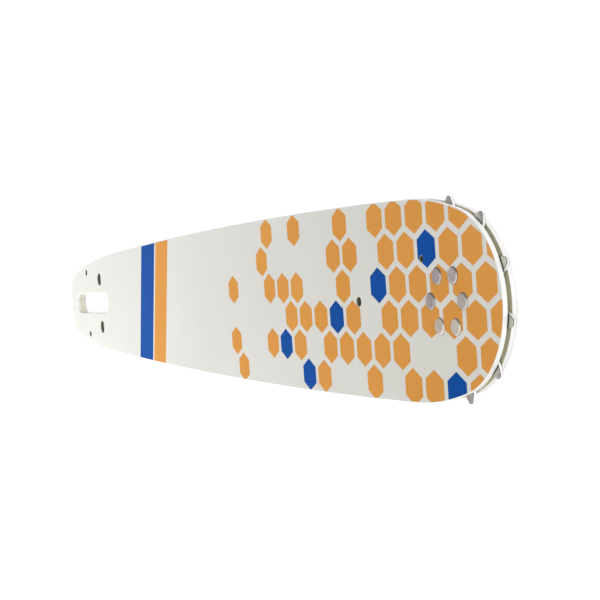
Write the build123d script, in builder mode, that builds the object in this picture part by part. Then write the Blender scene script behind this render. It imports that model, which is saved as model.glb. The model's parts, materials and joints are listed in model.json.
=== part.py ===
from build123d import *
from math import acos, asin, atan2, cos, degrees, pi, radians, sin
import os

# Chainsaw guide bar: two side plates on a core plate, with a toothed wheel on rollers in its nose.
# It lies flat, in millimetres: +X runs from the stud slot to the nose, and +Z out of the front face.
# The origin is the middle of the stud slot, halfway through the bar's thickness.

# Sheet steel plates
side_plate_thickness = 1.6
core_thickness = 1.6
groove_depth = 7.4
rail_edge_break = 0.25

# Nose bearing, from its rivets outwards
rivet_count = 6
rivet_circle_radius = 9.0
rivet_shank_radius = 2.0
rivet_head_radius = 2.8
rivet_head_height = 0.45
rivet_head_taper = 0.5
rivet_hole_clearance = 0.04
race_rim = 2.7
roller_radius = 2.0
roller_clearance = 0.04
roller_spacing = 0.06
bearing_side_clearance = 0.06

# Nose sprocket, from its bore outwards
tooth_count = 11
sprocket_rim = 6.5
tooth_height = 7.75
tooth_half_angle = 28.0
tooth_tip_round = 0.95
gullet_radius = 4.0
tooth_stand_out = 3.07
sprocket_side_clearance = 0.25
sprocket_core_clearance = 0.8
sprocket_setback = 0.5
sprocket_rest_angle = -11.4

# Outline of the bar, from the nose to the tail
nose_reach = 391.0
shoulder_radius = 110.0
front_flank_radius = 3000.0
belly_setback = 95.0
belly_swell = 4.6
tail_flank_start = 37.0
tail_shoulder_width = 54.5
tail_reach = 46.5
tail_end_width = 31.0
tail_corner_radius = 14.0

# Slot and holes
slot_width = 12.1
slot_length = 65.0
tensioner_hole_radius = 3.4
tensioner_web = 4.5
tensioner_hole_x = 18.0
oil_hole_radius = 1.6
oil_hole_inset = 4.2
oil_hole_place = 0.55
locating_hole_radius = 1.5
locating_hole_setback = 56.2
grease_hole_radius = 0.9
grease_hole_overhang = 0.75
grease_hole_angle = 133.7

# The bearing grows outwards from the rivets, and the nose follows the wheel's teeth.
race_radius = rivet_circle_radius + rivet_shank_radius + rivet_hole_clearance + race_rim
roller_circle_radius = race_radius + roller_clearance + roller_radius
sprocket_bore_radius = roller_circle_radius + roller_radius + roller_clearance
tooth_root_radius = sprocket_bore_radius + sprocket_rim
tooth_tip_radius = tooth_root_radius + tooth_height
nose_radius = tooth_tip_radius - tooth_stand_out
roller_length = core_thickness - 2 * bearing_side_clearance
sprocket_thickness = core_thickness - 2 * sprocket_side_clearance
bar_thickness = core_thickness + 2 * side_plate_thickness

# The wheel's axis lies a little behind the centre of the nose's arc. The shoulder is an arc that touches
# the nose's circle and the front flank's circle from between them.
nose_centre = Vector(nose_reach, 0)
axis_place = nose_centre - Vector(sprocket_setback, 0)
belly_half_width = nose_radius + belly_swell
belly = Vector(nose_reach - belly_setback, belly_half_width)
front_flank_centre = belly - Vector(0, front_flank_radius)
nose_to_flank = front_flank_centre - nose_centre
nose_to_shoulder = shoulder_radius - nose_radius
flank_to_shoulder = front_flank_radius - shoulder_radius
shoulder_swing = degrees(
    acos(
        (nose_to_shoulder**2 + nose_to_flank.length**2 - flank_to_shoulder**2)
        / (2 * nose_to_shoulder * nose_to_flank.length)
    )
)
shoulder_direction = nose_to_flank.normalized().rotate(Axis.Z, -shoulder_swing)
shoulder_centre = nose_centre + shoulder_direction * nose_to_shoulder
nose_half_sweep = degrees(atan2(-shoulder_direction.Y, -shoulder_direction.X))
shoulder_end = front_flank_centre + (shoulder_centre - front_flank_centre).normalized() * front_flank_radius

# The rear flank falls away from the belly as far as the tail's own curve.
rear_flank_end = Vector(tail_flank_start, tail_shoulder_width / 2)
tail_corner = Vector(-tail_reach, tail_end_width / 2)

# Outline that all three plates share
with BuildSketch() as bar_outline:
    with BuildLine():
        nose = CenterArc(nose_centre, nose_radius, -nose_half_sweep, 2 * nose_half_sweep)
        shoulder = TangentArc(nose @ 1, shoulder_end, tangent=nose % 1)
        front_flank = TangentArc(shoulder @ 1, belly, tangent=shoulder % 1)
        rear_flank = TangentArc(belly, rear_flank_end, tangent=(-1, 0))
        tail_flank = TangentArc(rear_flank @ 1, tail_corner, tangent=rear_flank % 1)
        mirror((shoulder, front_flank, rear_flank, tail_flank), about=Plane.XZ)
        Line(tail_corner, (tail_corner.X, -tail_corner.Y))
    make_face()
    fillet(bar_outline.vertices().group_by(Axis.X)[0], min(tail_corner_radius, tail_end_width / 2))

# The stud slot, the two tensioner holes and the locating hole go through all three plates.
tensioner_hole_y = slot_width / 2 + tensioner_web + tensioner_hole_radius
with BuildSketch() as through_holes:
    SlotOverall(slot_length, slot_width)
    with Locations((tensioner_hole_x, tensioner_hole_y), (tensioner_hole_x, -tensioner_hole_y)):
        Circle(tensioner_hole_radius)
    with Locations(nose_centre - Vector(locating_hole_setback, 0)):
        Circle(locating_hole_radius)

# The oil holes open into the chain groove, and the grease hole over the edge of the roller track.
oil_hole_inward = (tail_flank % oil_hole_place).rotate(Axis.Z, 90)
oil_hole = (tail_flank @ oil_hole_place) + oil_hole_inward * oil_hole_inset
grease_hole_reach = sprocket_bore_radius + grease_hole_overhang
grease_hole_turn = radians(grease_hole_angle)
grease_hole = axis_place + Vector(cos(grease_hole_turn), sin(grease_hole_turn)) * grease_hole_reach
with BuildSketch() as rivet_holes:
    with Locations(axis_place):
        with PolarLocations(rivet_circle_radius, rivet_count):
            Circle(rivet_shank_radius + rivet_hole_clearance)
with BuildSketch() as lubrication_holes:
    with Locations((oil_hole.X, oil_hole.Y), (oil_hole.X, -oil_hole.Y)):
        Circle(oil_hole_radius)
    with Locations(grease_hole):
        Circle(grease_hole_radius)

# Front side plate: its outer edges are the rails that the chain runs on, with the edge broken
with BuildPart() as front_side_plate:
    with BuildSketch(Plane.XY.offset(core_thickness / 2)):
        add(bar_outline.sketch)
        add(through_holes.sketch, mode=Mode.SUBTRACT)
        add(rivet_holes.sketch, mode=Mode.SUBTRACT)
        add(lubrication_holes.sketch, mode=Mode.SUBTRACT)
    extrude(amount=side_plate_thickness)
    outer_face = front_side_plate.faces().sort_by(Axis.Z)[-1]
    chamfer(outer_face.outer_wire().edges(), rail_edge_break)

# Back side plate: the front plate's mirror image across the core
with BuildPart() as back_side_plate:
    mirror(front_side_plate.part, about=Plane.XY)

# Core plate: stops short of the rails, which leaves the chain groove, and hollows out round the wheel
core_tail_width = tail_end_width - 2 * groove_depth
core_tail_length = 2 * groove_depth
with BuildPart() as core_plate:
    with BuildSketch(Plane.XY.offset(-core_thickness / 2)):
        offset(bar_outline.sketch, amount=-groove_depth)
        with Locations((-tail_reach, 0)):
            Rectangle(core_tail_length, core_tail_width, align=(Align.MIN, Align.CENTER))
        add(bar_outline.sketch, mode=Mode.INTERSECT)
        add(through_holes.sketch, mode=Mode.SUBTRACT)
        with Locations(axis_place):
            Circle(tooth_tip_radius + sprocket_core_clearance, mode=Mode.SUBTRACT)
    extrude(amount=core_thickness)

# Inner race: a disc held still between the side plates by the rivets
with BuildPart() as bearing_inner_race:
    with BuildSketch(Plane.XY.offset(-core_thickness / 2)):
        with Locations(axis_place):
            Circle(race_radius)
        add(rivet_holes.sketch, mode=Mode.SUBTRACT)
    extrude(amount=core_thickness)

# Nose sprocket: pointed teeth between round gullets that take the chain's drive links
gullet_flank_angle = 180 / tooth_count + tooth_half_angle
gullet_centre = Vector(tooth_root_radius + gullet_radius, 0)
with BuildSketch() as gullet:
    with BuildLine():
        gullet_floor = CenterArc(
            gullet_centre, gullet_radius, 90 + gullet_flank_angle, 180 - 2 * gullet_flank_angle
        )
        upper_flank = PolarLine(gullet_floor @ 0, 2 * tooth_height, gullet_flank_angle)
        lower_flank = PolarLine(gullet_floor @ 1, 2 * tooth_height, -gullet_flank_angle)
        Line(upper_flank @ 1, lower_flank @ 1)
    make_face()
with BuildSketch() as toothed_wheel:
    Circle(tooth_tip_radius)
    with PolarLocations(0, tooth_count, start_angle=180 / tooth_count):
        add(gullet.sketch, mode=Mode.SUBTRACT)
    tip_corners = toothed_wheel.vertices().filter_by(
        lambda corner: Vector(corner.X, corner.Y).length > tooth_tip_radius - tooth_tip_round
    )
    fillet(tip_corners, tooth_tip_round)
    Circle(sprocket_bore_radius, mode=Mode.SUBTRACT)
with BuildPart() as nose_sprocket:
    with BuildSketch(Plane.XY.offset(-sprocket_thickness / 2)):
        with Locations(Location(axis_place, (0, 0, sprocket_rest_angle))):
            add(toothed_wheel.sketch)
    extrude(amount=sprocket_thickness)

# Nose rivets: six shanks through plates and race, with a low tapered head on both faces
with BuildPart() as rivet:
    Cylinder(rivet_shank_radius, bar_thickness)
    with Locations((0, 0, bar_thickness / 2)):
        Cone(
            rivet_head_radius,
            rivet_head_radius - rivet_head_taper,
            rivet_head_height,
            align=(Align.CENTER, Align.CENTER, Align.MIN),
        )
    mirror(rivet.part, about=Plane.XY)
with BuildPart() as nose_rivets:
    with Locations(axis_place):
        with PolarLocations(rivet_circle_radius, rivet_count):
            add(rivet.part)

os.makedirs("parts", exist_ok=True)
plates_and_nose = {
    "front_side_plate": front_side_plate,
    "back_side_plate": back_side_plate,
    "core_plate": core_plate,
    "bearing_inner_race": bearing_inner_race,
    "nose_sprocket": nose_sprocket,
    "nose_rivets": nose_rivets,
}
for name, piece in plates_and_nose.items():
    piece.part.label = name
    export_step(piece.part, f"parts/{name}.step")

# Bearing rollers: as many as the ring between race and sprocket takes side by side
roller_count = int(pi / asin((roller_radius + roller_spacing / 2) / roller_circle_radius))
for number in range(roller_count):
    with BuildPart() as bearing_roller:
        with Locations(axis_place):
            with PolarLocations(roller_circle_radius, 1, start_angle=360 * number / roller_count):
                Cylinder(roller_radius, roller_length)
    bearing_roller.part.label = f"bearing_roller_{number + 1:02d}"
    export_step(bearing_roller.part, f"parts/{bearing_roller.part.label}.step")
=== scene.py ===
import json
from math import atan2, ceil, cos, pi, radians, sin, sqrt, tan

import bmesh
import bpy
from mathutils import Matrix, Vector
from mathutils.geometry import delaunay_2d_cdt, intersect_sphere_sphere_2d


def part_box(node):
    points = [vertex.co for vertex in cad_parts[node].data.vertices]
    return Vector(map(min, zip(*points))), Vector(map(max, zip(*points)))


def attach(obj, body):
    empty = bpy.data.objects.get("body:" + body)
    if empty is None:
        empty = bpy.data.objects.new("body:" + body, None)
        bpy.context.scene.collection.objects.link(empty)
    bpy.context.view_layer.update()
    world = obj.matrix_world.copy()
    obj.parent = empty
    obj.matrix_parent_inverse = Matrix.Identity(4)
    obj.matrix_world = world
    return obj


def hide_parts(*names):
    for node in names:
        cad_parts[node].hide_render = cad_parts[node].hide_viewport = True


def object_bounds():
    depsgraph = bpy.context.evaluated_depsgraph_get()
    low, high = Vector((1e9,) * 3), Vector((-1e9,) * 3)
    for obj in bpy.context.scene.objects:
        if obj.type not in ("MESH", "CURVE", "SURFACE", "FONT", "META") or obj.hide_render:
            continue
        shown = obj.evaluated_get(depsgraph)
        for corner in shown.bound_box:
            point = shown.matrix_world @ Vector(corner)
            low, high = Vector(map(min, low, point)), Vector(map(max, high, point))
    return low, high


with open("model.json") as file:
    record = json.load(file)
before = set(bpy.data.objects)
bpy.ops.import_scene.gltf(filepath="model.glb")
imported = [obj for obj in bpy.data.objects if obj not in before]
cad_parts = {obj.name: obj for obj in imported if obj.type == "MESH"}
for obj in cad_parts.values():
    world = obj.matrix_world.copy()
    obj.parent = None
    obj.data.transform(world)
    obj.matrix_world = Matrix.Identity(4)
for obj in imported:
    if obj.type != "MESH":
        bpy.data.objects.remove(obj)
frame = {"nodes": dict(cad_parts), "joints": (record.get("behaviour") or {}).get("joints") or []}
cad_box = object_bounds()

# Core plate
# Primed sheet steel, smaller than the side plates all round and spot welded between them.
# It shows only as the floor of the chain groove and in the walls of the slot and holes.
core_shades = ((0.76, 0.74, 0.56), (0.87, 0.85, 0.655))
core_roughness = (0.45, 0.60)
core_bareness = 0.3
core_grain = (0.004, 0.0006, 0.0006)
core_relief = 3e-6
handling_cloud = 0.03
noise_detail = 3.0
noise_middle = (0.3, 0.7)
shade_steps = (0.35, 0.65)


def add_node(tree, kind, inputs, **settings):
    """Adds a node with its settings; each input is a value, or the socket that feeds it."""
    made = tree.nodes.new(kind)
    for setting, value in settings.items():
        setattr(made, setting, value)
    for socket, value in inputs.items():
        if isinstance(value, bpy.types.NodeSocket):
            tree.links.new(value, made.inputs[socket])
        else:
            made.inputs[socket].default_value = value
    return made


def noise(tree, size):
    """Noise on the piece's own coordinates, with marks of about that size along X, Y and Z."""
    place = add_node(tree, "ShaderNodeTexCoord", {}).outputs["Object"]
    scale = [1 / length for length in size]
    scaled = add_node(tree, "ShaderNodeMapping", {"Vector": place, "Scale": scale}).outputs["Vector"]
    marks = add_node(tree, "ShaderNodeTexNoise", {"Vector": scaled, "Scale": 1.0, "Detail": noise_detail})
    return marks.outputs["Fac"]


def spread(tree, marks, low, high):
    """Spreads the middle of a noise over the range from low to high."""
    start, end = noise_middle
    limits = {"Value": marks, "From Min": start, "From Max": end, "To Min": low, "To Max": high}
    return add_node(tree, "ShaderNodeMapRange", limits).outputs["Result"]


def shades(tree, marks, dark, light):
    """Colours that go from dark to light with a noise."""
    ramp = add_node(tree, "ShaderNodeValToRGB", {"Fac": marks})
    for step, place, colour in zip(ramp.color_ramp.elements, shade_steps, (dark, light)):
        step.position = place
        step.color = (*colour, 1.0)
    return ramp.outputs["Color"]


def clouded_finish(name, colour_range, cloud, roughness_range, grain, relief):
    """A material whose colour clouds over, and whose gloss and surface follow the same fine grain."""
    made = bpy.data.materials.new(name)
    made.use_nodes = True
    tree = made.node_tree
    shader = tree.nodes["Principled BSDF"]
    clouds = noise(tree, (cloud, cloud, cloud))
    fine_grain = noise(tree, grain)
    bump = add_node(tree, "ShaderNodeBump", {"Height": fine_grain, "Strength": 1.0, "Distance": relief})
    tree.links.new(shades(tree, clouds, *colour_range), shader.inputs["Base Color"])
    tree.links.new(spread(tree, fine_grain, *roughness_range), shader.inputs["Roughness"])
    tree.links.new(bump.outputs["Normal"], shader.inputs["Normal"])
    return made, shader


def steel(name, colour_range, roughness_range, grain, relief, cloud=handling_cloud, bareness=1.0):
    """Steel clouded by handling; bareness is one for clean metal and less under primer or grease."""
    made, shader = clouded_finish(name, colour_range, cloud, roughness_range, grain, relief)
    shader.inputs["Metallic"].default_value = bareness
    return made


sheet_steel = steel(
    "primed_sheet_steel", core_shades, core_roughness, core_grain, core_relief, bareness=core_bareness
)
frame["nodes"]["core_plate"].material_slots[0].material = sheet_steel

# Nose bearing
# A hardened disc, the inner race, held by the rivets, and a full ring of loose steel rollers.
# Race and rollers are ground bright and run in grease; they sit between the side plates.
bearing_shades = ((0.50, 0.50, 0.48), (0.62, 0.62, 0.61))
bearing_roughness = (0.16, 0.28)
bearing_grain = (0.0004, 0.0004, 0.0004)
bearing_relief = 1e-6

bearing_steel = steel(
    "ground_bearing_steel", bearing_shades, bearing_roughness, bearing_grain, bearing_relief
)
for node_name, node in frame["nodes"].items():
    if node_name.startswith("bearing_"):
        node.material_slots[0].material = bearing_steel

# Nose sprocket
# A toothed wheel stamped from hardened sheet steel and tumbled, so its edges are a little rounded.
# It turns on the rollers, and the chain wears its walls bright in the middle; their dark corners are a
# painted dark reflection.
tooth_count = 11
sprocket_bore = 0.01782
tooth_root = 0.02432
tooth_tip = 0.03207
gullet_radius = 0.004
tooth_half_angle = radians(28.0)
tooth_tip_round = 0.00095
wheel_axis = Vector(frame["joints"][0]["pos_m"][:2])
sprocket_rest_turn = radians(-11.4)
sprocket_edge_round = 0.00014
sprocket_shades = ((0.34, 0.334, 0.284), (0.645, 0.632, 0.558))
sprocket_cloud = 0.0104
sprocket_roughness = (0.20, 0.30)
sprocket_grain = (0.0009, 0.0009, 0.0009)
sprocket_relief = 1.5e-6
worn_shades = ((0.80, 0.79, 0.77), (0.92, 0.91, 0.90))
worn_relief = 2e-6
worn_half_width = 0.00034
worn_border = 0.00008
painted_corner_shade = (0.17, 0.16, 0.16, 1.0)
arc_tolerance = 2e-6
same_point = 1e-6
edge_steps = 3
fill_inside = 1
fill_tolerance = 1e-9
bottom_slot, wall_slot, hole_slot, top_slot = range(4)


def arc(centre, radius, start, end, facing=1.0):
    """Points of an arc with the direction that points out of the material at each."""
    count = max(2, ceil(abs(end - start) / sqrt(8 * arc_tolerance / radius)))
    turns = [start + (end - start) * index / count for index in range(count + 1)]
    spokes = [Vector((cos(turn), sin(turn))) for turn in turns]
    return [(centre + spoke * radius, spoke * facing) for spoke in spokes]


def mirrored(stretch):
    """The same stretch on the other side of the X axis, walked the other way."""
    flip = Matrix.Diagonal((1.0, -1.0))
    return [(flip @ point, flip @ outward) for point, outward in reversed(stretch)]


def closed_loop(stretch):
    """A loop without the points that a joint between two arcs repeats."""
    loop = []
    for index, (point, outward) in enumerate(stretch):
        if (point - stretch[index - 1][0]).length > same_point:
            loop.append((point, outward))
    return loop


def round_hole(centre, radius):
    """The loop of a round hole, walked the other way than an outline."""
    return closed_loop(list(reversed(arc(centre, radius, 0.0, 2 * pi, -1.0))))


def edge_profile(bottom, top, bottom_round, top_round):
    """Steps of (inset, height) up a sheet's edge, with both of its corners rounded."""
    turns = [pi / 2 * index / edge_steps for index in range(edge_steps + 1)]
    lower = [(bottom_round * (1 - sin(turn)), bottom + bottom_round * (1 - cos(turn))) for turn in turns]
    upper = [(top_round * (1 - cos(turn)), top - top_round * (1 - sin(turn))) for turn in turns]
    return lower + upper


def raise_wall(shape, loop, profile, slot):
    """Raises a smooth wall along a loop by a profile's steps; returns its lowest and highest ring."""
    rings = []
    for inset, height in profile:
        rings.append([shape.verts.new((*(point - outward * inset), height)) for point, outward in loop])
    for lower, upper in zip(rings, rings[1:]):
        for index in range(len(loop)):
            side = shape.faces.new((lower[index - 1], lower[index], upper[index], upper[index - 1]))
            side.smooth = True
            side.material_index = slot
    return rings[0], rings[-1]


def fill_face(shape, rings, slot):
    """Fills the flat face between an outer ring, the first, and the holes' rings, with sharp borders."""
    corners = [corner for ring in rings for corner in ring]
    ring_of = [number for number, ring in enumerate(rings) for corner in ring]
    border = []
    for ring in rings:
        first = len(border)
        border += [(first + index, first + (index + 1) % len(ring)) for index in range(len(ring))]
    flat_corners = [corner.co.xy for corner in corners]
    triangles = delaunay_2d_cdt(flat_corners, border, [], fill_inside, fill_tolerance)[2]
    for triangle in triangles:
        touched = {ring_of[index] for index in triangle}
        if len(touched) > 1 or 0 in touched:
            shape.faces.new([corners[index] for index in triangle]).material_index = slot
    for start, end in border:
        shape.edges.get((corners[start], corners[end])).smooth = False


def flat_piece(name, loops, profile, bottom, wall, hole_wall, top):
    """A piece cut from sheet: its outline, its main opening with the same wall, and its small holes."""
    shape = bmesh.new()
    ends = []
    for number, loop in enumerate(loops):
        ends.append(raise_wall(shape, loop, profile, wall_slot if number < 2 else hole_slot))
    for rings, slot in zip(zip(*ends), (bottom_slot, top_slot)):
        fill_face(shape, rings, slot)
    bmesh.ops.recalc_face_normals(shape, faces=shape.faces)
    mesh = bpy.data.meshes.new(name)
    shape.to_mesh(mesh)
    shape.free()
    for material in (bottom, wall, hole_wall, top):
        mesh.materials.append(material)
    piece = bpy.data.objects.new(name, mesh)
    bpy.context.scene.collection.objects.link(piece)
    return piece


def work_out(tree, operation, first, second=0.0):
    """One step of arithmetic in a node tree."""
    return add_node(tree, "ShaderNodeMath", {0: first, 1: second}, operation=operation).outputs["Value"]


def mixed_colour(tree, share, first, second, blend_type="MIX"):
    """A mix of two colours, where the share is the second one's."""
    colours = {"Fac": share, "Color1": first, "Color2": second}
    return add_node(tree, "ShaderNodeMixRGB", colours, blend_type=blend_type).outputs["Color"]


def outside_band(tree, place, half_width, border):
    """Nothing in a band about the middle of the thickness, and one on both sides past its soft border."""
    height = add_node(tree, "ShaderNodeSeparateXYZ", {"Vector": place}).outputs["Z"]
    from_middle = work_out(tree, "ABSOLUTE", height)
    limits = {"Value": from_middle, "From Min": half_width, "From Max": half_width + border}
    return add_node(tree, "ShaderNodeMapRange", limits).outputs["Result"]


flank_turn = pi / tooth_count + tooth_half_angle
flank_direction = Vector((cos(flank_turn), sin(flank_turn)))
into_tooth = Vector((-sin(flank_turn), cos(flank_turn)))
gullet_centre = Vector((tooth_root + gullet_radius, 0.0))
flank_start = gullet_centre + into_tooth * (gullet_radius + tooth_tip_round)
along_flank = flank_start.dot(flank_direction)
tip_reach = tooth_tip - tooth_tip_round
flank_length = sqrt(along_flank**2 - flank_start.length_squared + tip_reach**2) - along_flank
tip_corner = flank_start + flank_direction * flank_length
tip_turn = atan2(tip_corner.y, tip_corner.x)
half_gap = (
    arc(gullet_centre, gullet_radius, pi, pi / 2 + flank_turn, -1.0)
    + arc(tip_corner, tooth_tip_round, flank_turn - pi / 2, tip_turn)
    + arc(Vector((0.0, 0.0)), tooth_tip, tip_turn, pi / tooth_count)
)
toothed_rim = []
for tooth in range(tooth_count):
    turned = Matrix.Rotation(sprocket_rest_turn + (tooth + 0.5) * 2 * pi / tooth_count, 2)
    for point, outward in mirrored(half_gap) + half_gap:
        toothed_rim.append((wheel_axis + turned @ point, turned @ outward))

sprocket_steel = steel(
    "tumbled_sprocket_steel",
    sprocket_shades,
    sprocket_roughness,
    sprocket_grain,
    sprocket_relief,
    sprocket_cloud,
)
worn_steel_with_painted_corners = steel("worn_tooth_steel_with_painted_corners", worn_shades, sprocket_roughness, sprocket_grain, worn_relief)
tooth_wall_nodes = worn_steel_with_painted_corners.node_tree
tooth_wall_colour = tooth_wall_nodes.nodes["Principled BSDF"].inputs["Base Color"]
wall_place = add_node(tooth_wall_nodes, "ShaderNodeTexCoord", {}).outputs["Object"]
# Both corners of each tooth wall get a painted dark reflection; the bright middle is the chain's wear.
painted_corner_mask = outside_band(tooth_wall_nodes, wall_place, worn_half_width, worn_border)
wall_colour = mixed_colour(tooth_wall_nodes, painted_corner_mask, tooth_wall_colour.links[0].from_socket, painted_corner_shade)
tooth_wall_nodes.links.new(wall_colour, tooth_wall_colour)
sprocket_bottom, sprocket_top = (corner.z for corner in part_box("nose_sprocket"))
sprocket = flat_piece(
    "sprocket_wheel",
    [closed_loop(toothed_rim), round_hole(wheel_axis, sprocket_bore)],
    edge_profile(sprocket_bottom, sprocket_top, sprocket_edge_round, sprocket_edge_round),
    bottom=sprocket_steel,
    wall=worn_steel_with_painted_corners,
    hole_wall=worn_steel_with_painted_corners,
    top=sprocket_steel,
)
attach(sprocket, "sprocket")
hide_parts("nose_sprocket")

# Side plates
# Two sheets of steel, laser cut, welded to the core and painted white; the chain runs on their edges,
# which are ground bare and bright, like the slot's wall. Inside the groove the steel is only primed.
nose_centre = Vector((0.391, 0.0))
nose_radius = 0.029
shoulder_radius = 0.110
front_flank_radius = 3.0
belly_setback = 0.095
belly_half_width = 0.0336
tail_flank_start = 0.037
tail_shoulder_width = 0.0545
tail_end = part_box("front_side_plate")[0].x
tail_end_width = 0.031
tail_corner_radius = 0.014
slot_width = 0.0121
slot_length = 0.065
tensioner_hole = Vector((0.018, 0.01395))
tensioner_hole_radius = 0.0034
oil_hole = Vector((-0.00857, 0.01851))
oil_hole_radius = 0.0016
locating_hole = Vector((0.3348, 0.0))
locating_hole_radius = 0.0015
grease_hole = Vector((0.37767, 0.01343))
grease_hole_radius = 0.0009
rivet_count = 6
rivet_circle = 0.009
rivet_hole_radius = 0.00204
rail_edge_round = 0.00025
inner_edge_round = 0.00016
paint_shades = ((0.585, 0.585, 0.538), (0.612, 0.612, 0.566))
paint_cloud = 0.08
paint_roughness = (0.28, 0.30)
paint_grain = (0.0026, 0.0026, 0.0031)
paint_relief = 2e-7
paint_coat = 0.9
paint_coat_roughness = 0.18
rail_shades = ((0.80, 0.80, 0.785), (0.88, 0.88, 0.865))
rail_roughness = (0.45, 0.60)
rail_bareness = 0.25
rail_grain = (0.012, 0.012, 0.00012)
rail_relief = 2e-6
# Dark steel for the walls of the small holes: painted shade of their depth.
hole_painted_shades = ((0.13, 0.13, 0.105), (0.20, 0.20, 0.165))


def turn_of(direction):
    """The angle of a direction, from the X axis."""
    return atan2(direction.y, direction.x)


belly = Vector((nose_centre.x - belly_setback, belly_half_width))
front_flank_centre = belly - Vector((0.0, front_flank_radius))
shoulder_centre = min(
    intersect_sphere_sphere_2d(
        nose_centre, shoulder_radius - nose_radius, front_flank_centre, front_flank_radius - shoulder_radius
    ),
    key=lambda centre: centre.x,
)
tail_shoulder = Vector((tail_flank_start, tail_shoulder_width / 2))
rear_fall = belly - tail_shoulder
rear_flank_radius = rear_fall.length_squared / (2 * rear_fall.y)
rear_flank_centre = belly - Vector((0.0, rear_flank_radius))
tail_inward = (rear_flank_centre - tail_shoulder).normalized()
tail_fall = Vector((tail_end, tail_end_width / 2)) - tail_shoulder
tail_flank_radius = tail_fall.length_squared / (2 * tail_fall.dot(tail_inward))
tail_flank_centre = tail_shoulder + tail_inward * tail_flank_radius
corner_x = tail_end + tail_corner_radius
corner_reach = tail_flank_radius - tail_corner_radius
corner_rise = sqrt(corner_reach**2 - (corner_x - tail_flank_centre.x) ** 2)
corner_centre = Vector((corner_x, tail_flank_centre.y + corner_rise))
shoulder_start = turn_of(nose_centre - shoulder_centre)
shoulder_end = turn_of(shoulder_centre - front_flank_centre)
rear_flank_end = turn_of(tail_shoulder - rear_flank_centre)
tail_flank_end = turn_of(corner_centre - tail_flank_centre)
half_outline = (
    arc(nose_centre, nose_radius, 0.0, shoulder_start)
    + arc(shoulder_centre, shoulder_radius, shoulder_start, shoulder_end)
    + arc(front_flank_centre, front_flank_radius, shoulder_end, pi / 2)
    + arc(rear_flank_centre, rear_flank_radius, pi / 2, rear_flank_end)
    + arc(tail_flank_centre, tail_flank_radius, rear_flank_end, tail_flank_end)
    + arc(corner_centre, tail_corner_radius, tail_flank_end, pi)
)
slot_end = Vector(((slot_length - slot_width) / 2, 0.0))
slot_edge = (
    arc(slot_end, slot_width / 2, -pi / 2, pi / 2, -1.0)
    + arc(-slot_end, slot_width / 2, pi / 2, 3 * pi / 2, -1.0)
)
bar_loops = [
    closed_loop(half_outline + mirrored(half_outline)),
    closed_loop(list(reversed(slot_edge))),
    round_hole(locating_hole, locating_hole_radius),
    round_hole(grease_hole, grease_hole_radius),
]
for place, radius in ((tensioner_hole, tensioner_hole_radius), (oil_hole, oil_hole_radius)):
    bar_loops.append(round_hole(place, radius))
    bar_loops.append(round_hole(Vector((place.x, -place.y)), radius))
for rivet in range(rivet_count):
    rivet_turn = 2 * pi * rivet / rivet_count
    rivet_place = wheel_axis + Vector((cos(rivet_turn), sin(rivet_turn))) * rivet_circle
    bar_loops.append(round_hole(rivet_place, rivet_hole_radius))

white_paint, paint_shader = clouded_finish(
    "satin_white_paint", paint_shades, paint_cloud, paint_roughness, paint_grain, paint_relief
)
paint_shader.inputs["Coat Weight"].default_value = paint_coat
paint_shader.inputs["Coat Roughness"].default_value = paint_coat_roughness
rail_steel = steel(
    "ground_rail_steel", rail_shades, rail_roughness, rail_grain, rail_relief, bareness=rail_bareness
)
# The small holes' walls are darkened as painted shade of the deep holes.
shaded_hole_steel = steel(
    "painted_shade_hole_steel", hole_painted_shades, core_roughness, core_grain, core_relief, bareness=core_bareness
)
front_inside, front_face = (corner.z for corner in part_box("front_side_plate"))
front_plate = flat_piece(
    "front_plate",
    bar_loops,
    edge_profile(front_inside, front_face, inner_edge_round, rail_edge_round),
    bottom=sheet_steel,
    wall=rail_steel,
    hole_wall=shaded_hole_steel,
    top=white_paint,
)
back_face, back_inside = (corner.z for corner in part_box("back_side_plate"))
back_plate = flat_piece(
    "back_plate",
    bar_loops,
    edge_profile(back_face, back_inside, rail_edge_round, inner_edge_round),
    bottom=white_paint,
    wall=rail_steel,
    hole_wall=shaded_hole_steel,
    top=sheet_steel,
)
for plate, node_name in ((front_plate, "front_side_plate"), (back_plate, "back_side_plate")):
    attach(plate, "bar")
    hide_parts(node_name)

# Nose rivets
# Six steel rivets through side plates and race, pressed by a spinning tool until both heads sit low.
# The tool leaves fine rings on nearly flat heads of differing tilt and tint; a dark band at their feet is a
# painted contact shadow.
rivet_shank = 0.002
rivet_head = 0.0028
rivet_face = 0.0023
rivet_face_round = 0.0002
rivet_crown = 0.00003
rivet_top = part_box("nose_rivets")[1].z
crown_steps = 6
rim_steps = 6
rivet_segments = 64
rivet_sharp_angle = radians(50.0)
rivet_lean = (0.012, 0.012, 0.0)
rivet_seed = 4
rivet_batch_seed = 5193
rivet_shades = ((0.76, 0.73, 0.69), (0.95, 0.92, 0.87))
rivet_tints = ((0.59, 0.57, 0.63, 1.0), (1.0, 0.98, 0.90, 1.0))
rivet_cloud = 0.006
rivet_roughness = (0.14, 0.22)
rivet_grain = (0.0007, 0.0007, 0.0007)
rivet_relief = 3e-7
rivet_ring_width = 0.00032
rivet_ring_relief = 5e-7
rivet_foot_painted_shadow = (0.10, 0.095, 0.08, 1.0)
rivet_foot_height = 0.00008
rivet_foot_border = 0.00005

head_slope = atan2(rivet_top - front_face, rivet_head - rivet_face)
face_reach = rivet_face - rivet_face_round * tan(head_slope / 2)
head_profile = []
for index in range(crown_steps):
    share = index / crown_steps
    head_profile.append((face_reach * share, rivet_top - rivet_crown * share**2))
for index in range(rim_steps + 1):
    turn = head_slope * index / rim_steps
    drop = rivet_crown + rivet_face_round * (1 - cos(turn))
    head_profile.append((face_reach + rivet_face_round * sin(turn), rivet_top - drop))
head_profile += [(rivet_head, front_face), (rivet_shank, front_face)]
rivet_profile = head_profile + [(reach, -height) for reach, height in reversed(head_profile)]

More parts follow.
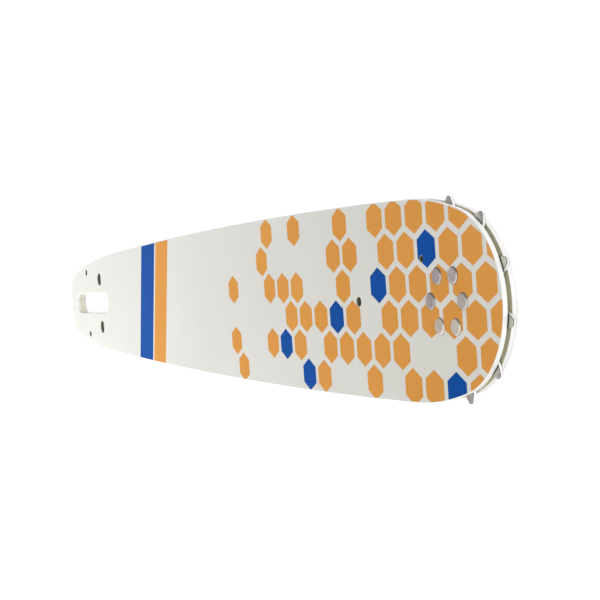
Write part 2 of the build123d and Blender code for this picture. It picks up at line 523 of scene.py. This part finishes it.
rivet_shape = bmesh.new()
chain = [rivet_shape.verts.new((reach, 0.0, height)) for reach, height in rivet_profile]
links = [rivet_shape.edges.new(pair) for pair in zip(chain, chain[1:])]
bmesh.ops.spin(
    rivet_shape, geom=chain + links, cent=(0, 0, 0), axis=(0, 0, 1), angle=2 * pi, steps=rivet_segments
)
bmesh.ops.remove_doubles(rivet_shape, verts=rivet_shape.verts, dist=same_point)
bmesh.ops.recalc_face_normals(rivet_shape, faces=rivet_shape.faces)
for face in rivet_shape.faces:
    face.smooth = True
rivet_mesh = bpy.data.meshes.new("rivets")
rivet_shape.to_mesh(rivet_mesh)
rivet_shape.free()
rivet_mesh.set_sharp_from_angle(angle=rivet_sharp_angle)
from_axis = rivet_mesh.attributes.new("from_axis", "FLOAT_VECTOR", "POINT")
for vertex in rivet_mesh.vertices:
    from_axis.data[vertex.index].vector = vertex.co
rivets = bpy.data.objects.new("rivets", rivet_mesh)
bpy.context.scene.collection.objects.link(rivets)


def node_tree(name, inputs):
    """A Geometry Nodes tree with its named inputs; returns the tree, its input sockets and its output."""
    tree = bpy.data.node_groups.new(name, "GeometryNodeTree")
    tree.interface.new_socket("Geometry", in_out="INPUT", socket_type="NodeSocketGeometry")
    tree.interface.new_socket("Geometry", in_out="OUTPUT", socket_type="NodeSocketGeometry")
    for socket, kind in inputs.items():
        tree.interface.new_socket(socket, in_out="INPUT", socket_type=kind)
    given = add_node(tree, "NodeGroupInput", {}).outputs
    return tree, given, add_node(tree, "NodeGroupOutput", {}).inputs["Geometry"]


def grow(piece, tree, values):
    """Runs a node tree on a piece and keeps what it makes as the piece's plain mesh."""
    modifier = piece.modifiers.new(tree.name, "NODES")
    modifier.node_group = tree
    for item in tree.interface.items_tree:
        if item.in_out == "INPUT" and item.name in values:
            modifier[item.identifier] = values[item.name]
    evaluated = piece.evaluated_get(bpy.context.evaluated_depsgraph_get())
    piece.data = bpy.data.meshes.new_from_object(evaluated)
    piece.modifiers.clear()


ring_tree, given, ring_output = node_tree(
    "ring_of_rivets",
    {
        "Count": "NodeSocketInt",
        "Circle": "NodeSocketFloat",
        "Centre": "NodeSocketVector",
        "Lean": "NodeSocketVector",
        "Seed": "NodeSocketInt",
        "Batch Seed": "NodeSocketInt",
        "Finish": "NodeSocketMaterial",
    },
)
places = add_node(
    ring_tree, "GeometryNodeMeshCircle", {"Vertices": given["Count"], "Radius": given["Circle"]}
)
placed = add_node(
    ring_tree, "GeometryNodeTransform", {"Geometry": places.outputs["Mesh"], "Translation": given["Centre"]}
)
other_lean = add_node(
    ring_tree, "ShaderNodeVectorMath", {0: given["Lean"], 1: (-1.0, -1.0, -1.0)}, operation="MULTIPLY"
)
lean = add_node(
    ring_tree,
    "FunctionNodeRandomValue",
    {"Min": other_lean.outputs["Vector"], "Max": given["Lean"], "Seed": given["Seed"]},
    data_type="FLOAT_VECTOR",
)
heads = add_node(
    ring_tree,
    "GeometryNodeInstanceOnPoints",
    {"Points": placed.outputs["Geometry"], "Instance": given["Geometry"], "Rotation": lean.outputs["Value"]},
)
batch = add_node(
    ring_tree, "FunctionNodeRandomValue", {"Seed": given["Batch Seed"]}, data_type="FLOAT"
).outputs[1]
marked_heads = add_node(
    ring_tree,
    "GeometryNodeStoreNamedAttribute",
    {"Geometry": heads.outputs["Instances"], "Name": "batch", "Value": batch},
    data_type="FLOAT",
    domain="INSTANCE",
)
real_heads = add_node(
    ring_tree, "GeometryNodeRealizeInstances", {"Geometry": marked_heads.outputs["Geometry"]}
)
steel_heads = add_node(
    ring_tree,
    "GeometryNodeSetMaterial",
    {"Geometry": real_heads.outputs["Geometry"], "Material": given["Finish"]},
)
ring_tree.links.new(steel_heads.outputs["Geometry"], ring_output)

rivet_steel = steel(
    "spun_rivet_steel", rivet_shades, rivet_roughness, rivet_grain, rivet_relief, rivet_cloud
)
rivet_nodes = rivet_steel.node_tree
rivet_normal = rivet_nodes.nodes["Principled BSDF"].inputs["Normal"]
rivet_colour = rivet_nodes.nodes["Principled BSDF"].inputs["Base Color"]
head_place = add_node(rivet_nodes, "ShaderNodeAttribute", {}, attribute_name="from_axis").outputs["Vector"]
flat_place = add_node(
    rivet_nodes, "ShaderNodeVectorMath", {0: head_place, 1: (1.0, 1.0, 0.0)}, operation="MULTIPLY"
)
ring_reach = add_node(
    rivet_nodes, "ShaderNodeVectorMath", {0: flat_place.outputs["Vector"]}, operation="LENGTH"
)
ring_turn = work_out(rivet_nodes, "MULTIPLY", ring_reach.outputs["Value"], 2 * pi / rivet_ring_width)
ring_bump = add_node(
    rivet_nodes,
    "ShaderNodeBump",
    {
        "Height": work_out(rivet_nodes, "SINE", ring_turn),
        "Strength": 1.0,
        "Distance": rivet_ring_relief,
        "Normal": rivet_normal.links[0].from_socket,
    },
)
rivet_nodes.links.new(ring_bump.outputs["Normal"], rivet_normal)
rivet_batch = add_node(rivet_nodes, "ShaderNodeAttribute", {}, attribute_name="batch").outputs["Fac"]
tint = mixed_colour(rivet_nodes, rivet_batch, *rivet_tints)
tinted = mixed_colour(rivet_nodes, 1.0, rivet_colour.links[0].from_socket, tint, blend_type="MULTIPLY")
# A dark band at the foot of each head, where it meets the plate: painted contact shadow.
above_foot = outside_band(rivet_nodes, head_place, front_face + rivet_foot_height, rivet_foot_border)
rivet_nodes.links.new(mixed_colour(rivet_nodes, above_foot, rivet_foot_painted_shadow, tinted), rivet_colour)
grow(
    rivets,
    ring_tree,
    {
        "Count": rivet_count,
        "Circle": rivet_circle,
        "Centre": (*wheel_axis, 0.0),
        "Lean": rivet_lean,
        "Seed": rivet_seed,
        "Batch Seed": rivet_batch_seed,
        "Finish": rivet_steel,
    },
)
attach(rivets, "bar")
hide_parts("nose_rivets")

# Print on both faces
# Two screen-printed inks, orange and blue, each a film a few hundredths of a millimetre thick.
# A honeycomb thins out from the nose towards the tail, and a slanted stripe of each ink crosses the tail.
print_margin = 0.0003
ink_thickness = 0.00003
ink_root = 0.00001
cell_sides = 6
cell_size = 0.0105
cell_gap = 0.0022
print_start = 0.165
print_full = 0.425
print_rows = 6
print_columns = 21
blue_share = 0.12
print_seed = 11
stripe_lean = radians(-14.0)
stripe_length = 0.2
orange_stripe = (0.125, 0.018)
blue_stripe = (0.1035, 0.021)
cutter_depth = 0.1
orange_shades = ((0.586, 0.258, 0.052), (0.614, 0.277, 0.061))
blue_shades = ((0.002, 0.060, 0.278), (0.004, 0.066, 0.302))
ink_cloud = 0.05
ink_roughness = (0.42, 0.48)
ink_shine = 0.03
ink_grain = (0.0013, 0.0013, 0.0017)
ink_relief = 4e-7

print_tree, given, print_output = node_tree(
    "honeycomb_print",
    {
        "Cell": "NodeSocketFloat",
        "Gap": "NodeSocketFloat",
        "Start": "NodeSocketFloat",
        "Full": "NodeSocketFloat",
        "Blue Share": "NodeSocketFloat",
        "Blue": "NodeSocketBool",
        "Seed": "NodeSocketInt",
        "Stripe Place": "NodeSocketFloat",
        "Stripe Width": "NodeSocketFloat",
        "Stripe Lean": "NodeSocketFloat",
        "Ink": "NodeSocketMaterial",
    },
)
grid = add_node(print_tree, "GeometryNodeMeshGrid", {"Vertices X": print_columns, "Vertices Y": print_rows})
cell_index = add_node(print_tree, "GeometryNodeInputIndex", {}).outputs["Index"]
column = work_out(print_tree, "FLOOR", work_out(print_tree, "DIVIDE", cell_index, print_rows))
row = work_out(print_tree, "MODULO", cell_index, print_rows)
pitch = work_out(print_tree, "ADD", given["Cell"], given["Gap"])
row_pitch = work_out(print_tree, "MULTIPLY", pitch, sin(pi / 3))
odd_row = work_out(print_tree, "MODULO", row, 2.0)
half_step = work_out(print_tree, "MULTIPLY", odd_row, 0.5)
steps_along = work_out(print_tree, "ADD", column, half_step)
rows_across = work_out(print_tree, "SUBTRACT", row, (print_rows - 1) / 2)
cell_x = work_out(print_tree, "ADD", given["Start"], work_out(print_tree, "MULTIPLY", pitch, steps_along))
cell_y = work_out(print_tree, "MULTIPLY", rows_across, row_pitch)
cell_place = add_node(print_tree, "ShaderNodeCombineXYZ", {"X": cell_x, "Y": cell_y})
laid = add_node(
    print_tree,
    "GeometryNodeSetPosition",
    {"Geometry": grid.outputs["Mesh"], "Position": cell_place.outputs["Vector"]},
)
thinning = add_node(
    print_tree,
    "ShaderNodeMapRange",
    {"Value": cell_x, "From Min": given["Start"], "From Max": given["Full"]},
    interpolation_type="SMOOTHSTEP",
).outputs["Result"]
dropped = add_node(
    print_tree, "FunctionNodeRandomValue", {"ID": cell_index, "Seed": given["Seed"]}, data_type="FLOAT"
).outputs[1]
next_seed = work_out(print_tree, "ADD", given["Seed"], 1.0)
picked = add_node(
    print_tree, "FunctionNodeRandomValue", {"ID": cell_index, "Seed": next_seed}, data_type="FLOAT"
).outputs[1]
is_blue = work_out(print_tree, "LESS_THAN", picked, given["Blue Share"])
other_ink = work_out(print_tree, "ABSOLUTE", work_out(print_tree, "SUBTRACT", is_blue, given["Blue"]))
thinned_out = work_out(print_tree, "GREATER_THAN", dropped, thinning)
left_out = work_out(print_tree, "MAXIMUM", thinned_out, other_ink)
kept = add_node(
    print_tree,
    "GeometryNodeDeleteGeometry",
    {"Geometry": laid.outputs["Geometry"], "Selection": left_out},
)
cell_radius = work_out(print_tree, "DIVIDE", given["Cell"], sqrt(3))
cell = add_node(
    print_tree,
    "GeometryNodeMeshCylinder",
    {"Vertices": cell_sides, "Radius": cell_radius, "Depth": cutter_depth},
)
upright = add_node(
    print_tree,
    "GeometryNodeTransform",
    {"Geometry": cell.outputs["Mesh"], "Rotation": (0.0, 0.0, pi / cell_sides)},
)
cells = add_node(
    print_tree,
    "GeometryNodeInstanceOnPoints",
    {"Points": kept.outputs["Geometry"], "Instance": upright.outputs["Geometry"]},
)
stripe_size = add_node(
    print_tree,
    "ShaderNodeCombineXYZ",
    {"X": given["Stripe Width"], "Y": stripe_length, "Z": cutter_depth},
)
stripe_place = add_node(print_tree, "ShaderNodeCombineXYZ", {"X": given["Stripe Place"]})
stripe_turn = add_node(print_tree, "ShaderNodeCombineXYZ", {"Z": given["Stripe Lean"]})
stripe = add_node(print_tree, "GeometryNodeMeshCube", {"Size": stripe_size.outputs["Vector"]})
stripe_laid = add_node(
    print_tree,
    "GeometryNodeTransform",
    {
        "Geometry": stripe.outputs["Mesh"],
        "Translation": stripe_place.outputs["Vector"],
        "Rotation": stripe_turn.outputs["Vector"],
    },
)
motifs = add_node(print_tree, "GeometryNodeJoinGeometry", {"Geometry": cells.outputs["Instances"]})
print_tree.links.new(stripe_laid.outputs["Geometry"], motifs.inputs["Geometry"])
real_motifs = add_node(print_tree, "GeometryNodeRealizeInstances", {"Geometry": motifs.outputs["Geometry"]})
trimmed = add_node(
    print_tree,
    "GeometryNodeMeshBoolean",
    {"Mesh 2": real_motifs.outputs["Geometry"]},
    operation="INTERSECT",
    solver="MANIFOLD",
)
print_tree.links.new(given["Geometry"], trimmed.inputs["Mesh 2"])
inked = add_node(
    print_tree, "GeometryNodeSetMaterial", {"Geometry": trimmed.outputs["Mesh"], "Material": given["Ink"]}
)
print_tree.links.new(inked.outputs["Geometry"], print_output)

inks = {}
for colour, ink_shades, stripe_band in (
    ("orange", orange_shades, orange_stripe),
    ("blue", blue_shades, blue_stripe),
):
    ink, ink_shader = clouded_finish(
        f"{colour}_ink", ink_shades, ink_cloud, ink_roughness, ink_grain, ink_relief
    )
    ink_shader.inputs["Specular IOR Level"].default_value = ink_shine
    inks[colour] = (ink, stripe_band)
film_heights = {
    "front": (front_face - ink_root, front_face + ink_thickness),
    "back": (back_face - ink_thickness, back_face + ink_root),
}
for side, (film_bottom, film_top) in film_heights.items():
    for colour, (ink, (stripe_x, stripe_width)) in inks.items():
        film = flat_piece(
            f"{side}_{colour}_print",
            bar_loops,
            [(print_margin, film_bottom), (print_margin, film_top)],
            bottom=ink,
            wall=ink,
            hole_wall=ink,
            top=ink,
        )
        grow(
            film,
            print_tree,
            {
                "Cell": cell_size,
                "Gap": cell_gap,
                "Start": print_start,
                "Full": print_full,
                "Blue Share": blue_share,
                "Blue": colour == "blue",
                "Seed": print_seed,
                "Stripe Place": stripe_x,
                "Stripe Width": stripe_width * cos(stripe_lean),
                "Stripe Lean": stripe_lean,
                "Ink": ink,
            },
        )
        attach(film, "bar")

# Studio
# A white floor and surround, two grey cards that only reflections show, and three large soft lamps that
# no reflection shows. The camera looks along the bar from beyond the nose, with the bar's width upright.
floor_half_size = 4.0
floor_white = 0.55
floor_glow = 0.71
surround_white = (1.0, 1.0, 1.0, 1.0)
surround_fill = 0.53
grey_cards = (
    ((0.0, 1.0, 0.0), (0.10, 0.50), (0.30, 0.30, 0.28, 1.0)),
    ((-0.843, -0.037, 0.537), (0.962, 0.992), (0.60, 0.555, 0.555, 1.0)),
)
lamp_places = (
    ((-0.25, -0.45, 0.45), 0.4, 7.2),
    ((1.25, 0.12, 0.13), 0.25, 5.6),
    ((0.3, 1.2, 0.12), 0.3, 3.0),
)
camera_place = Vector((0.6987, 0.0137, 0.1994))
camera_forward = Vector((-0.9014, -0.0283, -0.4321))
camera_up = Vector((0.0039, 0.9973, -0.0733))
camera_lens = 71.53
camera_sensor = 36.0


def seen_rays(tree):
    """One for rays from the camera, a reflection or a see-through surface, and nothing for the rest."""
    paths = add_node(tree, "ShaderNodeLightPath", {}).outputs
    shiny = work_out(tree, "MAXIMUM", paths["Is Glossy Ray"], paths["Is Transmission Ray"])
    return work_out(tree, "MAXIMUM", paths["Is Camera Ray"], shiny)


floor_height = cad_box[0].z
floor_corners = []
for x, y in ((-1, -1), (1, -1), (1, 1), (-1, 1)):
    floor_corners.append((x * floor_half_size, y * floor_half_size, floor_height))
floor_mesh = bpy.data.meshes.new("floor")
floor_mesh.from_pydata(floor_corners, [], [(0, 1, 2, 3)])
floor_paint = bpy.data.materials.new("white_floor")
floor_paint.use_nodes = True
floor_nodes = floor_paint.node_tree
floor_nodes.nodes.remove(floor_nodes.nodes["Principled BSDF"])
matt = add_node(floor_nodes, "ShaderNodeBsdfDiffuse", {"Color": (floor_white, floor_white, floor_white, 1.0)})
glow_strength = work_out(floor_nodes, "MULTIPLY", seen_rays(floor_nodes), floor_glow)
glow = add_node(floor_nodes, "ShaderNodeEmission", {"Strength": glow_strength})
lit = add_node(floor_nodes, "ShaderNodeAddShader", {0: matt.outputs["BSDF"], 1: glow.outputs["Emission"]})
floor_nodes.links.new(lit.outputs["Shader"], floor_nodes.nodes["Material Output"].inputs["Surface"])
floor_mesh.materials.append(floor_paint)
floor = bpy.data.objects.new("floor", floor_mesh)
bpy.context.scene.collection.objects.link(floor)

surround = bpy.data.worlds.new("white_surround")
surround.use_nodes = True
surround_nodes = surround.node_tree
sky_place = add_node(surround_nodes, "ShaderNodeTexCoord", {}).outputs["Generated"]
reflected = add_node(surround_nodes, "ShaderNodeLightPath", {}).outputs["Is Glossy Ray"]
sky_colour = surround_white
for direction, (card_edge, card_middle), grey in grey_cards:
    towards = add_node(
        surround_nodes, "ShaderNodeVectorMath", {0: sky_place, 1: direction}, operation="DOT_PRODUCT"
    )
    card = add_node(
        surround_nodes,
        "ShaderNodeMapRange",
        {
            "Value": towards.outputs["Value"],
            "From Min": card_edge,
            "From Max": card_middle,
            "To Max": reflected,
        },
        interpolation_type="SMOOTHSTEP",
    )
    sky_colour = mixed_colour(surround_nodes, card.outputs["Result"], sky_colour, grey)
strength = add_node(
    surround_nodes, "ShaderNodeMapRange", {"Value": seen_rays(surround_nodes), "To Min": surround_fill}
)
sky = surround_nodes.nodes["Background"]
surround_nodes.links.new(sky_colour, sky.inputs["Color"])
surround_nodes.links.new(strength.outputs["Result"], sky.inputs["Strength"])
bpy.context.scene.world = surround

bar_middle = Vector((nose_centre.x / 2, 0.0, 0.0))
for index, (place, size, power) in enumerate(lamp_places):
    lamp_data = bpy.data.lights.new(f"soft_lamp_{index}", "AREA")
    lamp_data.size = size
    lamp_data.energy = power
    lamp = bpy.data.objects.new(f"soft_lamp_{index}", lamp_data)
    lamp.location = place
    lamp.rotation_euler = (bar_middle - Vector(place)).to_track_quat("-Z", "Y").to_euler()
    lamp.visible_glossy = False
    bpy.context.scene.collection.objects.link(lamp)

camera_data = bpy.data.cameras.new("camera")
camera_data.lens = camera_lens
camera_data.sensor_width = camera_sensor
camera = bpy.data.objects.new("camera", camera_data)
camera_right = camera_forward.cross(camera_up).normalized()
camera_axes = Matrix((camera_right, camera_right.cross(camera_forward), -camera_forward)).transposed()
camera.matrix_world = Matrix.Translation(camera_place) @ camera_axes.to_4x4()
bpy.context.scene.collection.objects.link(camera)
bpy.context.scene.camera = camera
bpy.context.scene.view_settings.view_transform = "Standard"
